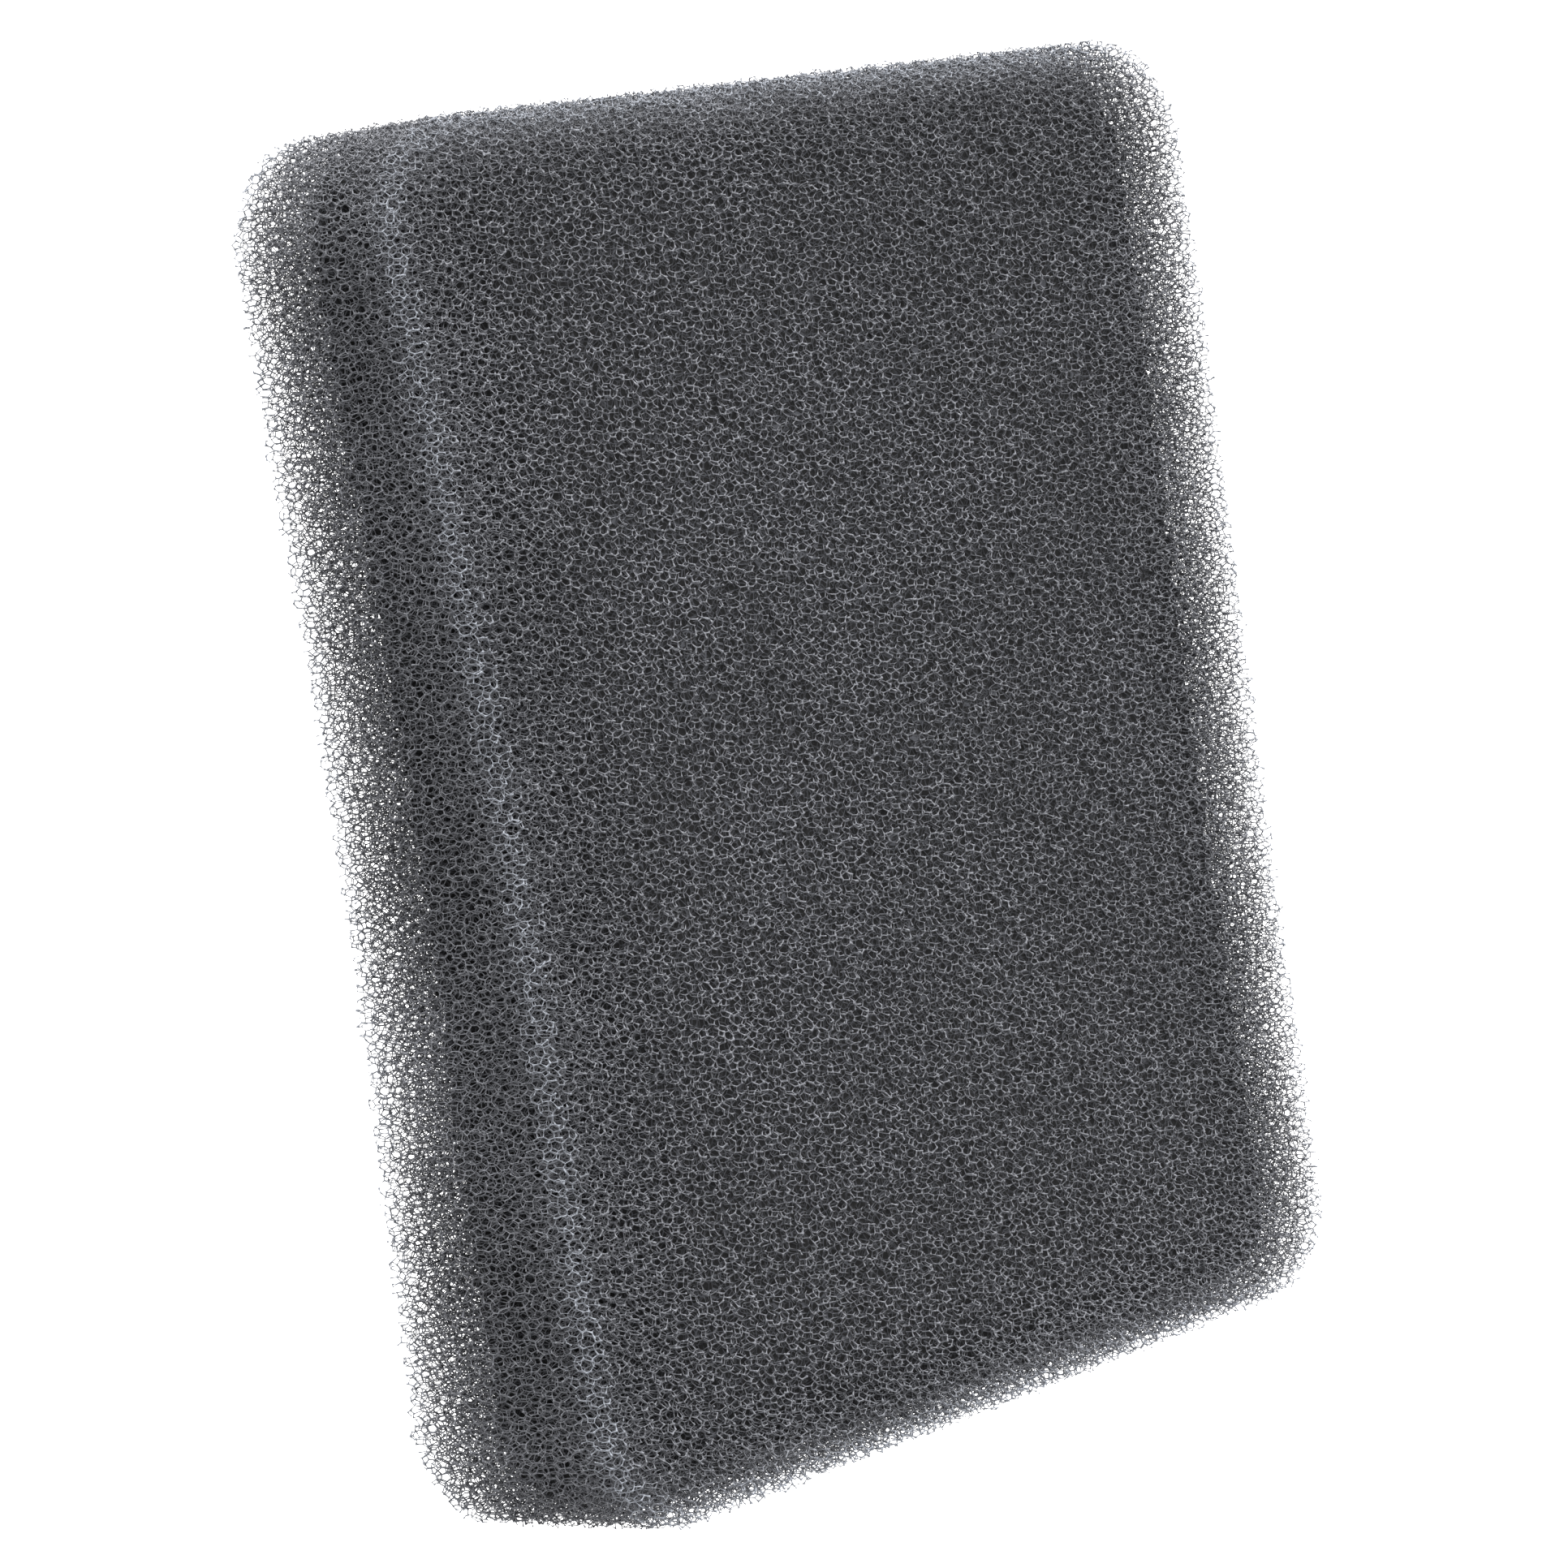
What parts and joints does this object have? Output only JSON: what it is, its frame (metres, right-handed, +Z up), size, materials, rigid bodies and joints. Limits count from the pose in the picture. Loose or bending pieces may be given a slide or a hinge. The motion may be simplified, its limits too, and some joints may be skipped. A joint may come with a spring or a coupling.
{
  "type": "filter sponge",
  "caption": "Flat rectangular block of dark open-cell foam with rounded corners and soft edges, cut to fill the chamber of an aquarium or pond filter.",
  "frame": {"origin": "on the ground under the middle of the block, which stands on a narrow end", "axes": "+Z up the block's longest side, +X across its broad face, +Y through its thickness"},
  "size_m": [0.125, 0.024, 0.14],
  "materials": {
    "foam": "matt charcoal open-cell polyurethane foam"
  },
  "bodies": {
    "root": {"foam_block": "foam"}
  },
  "joints": []
}
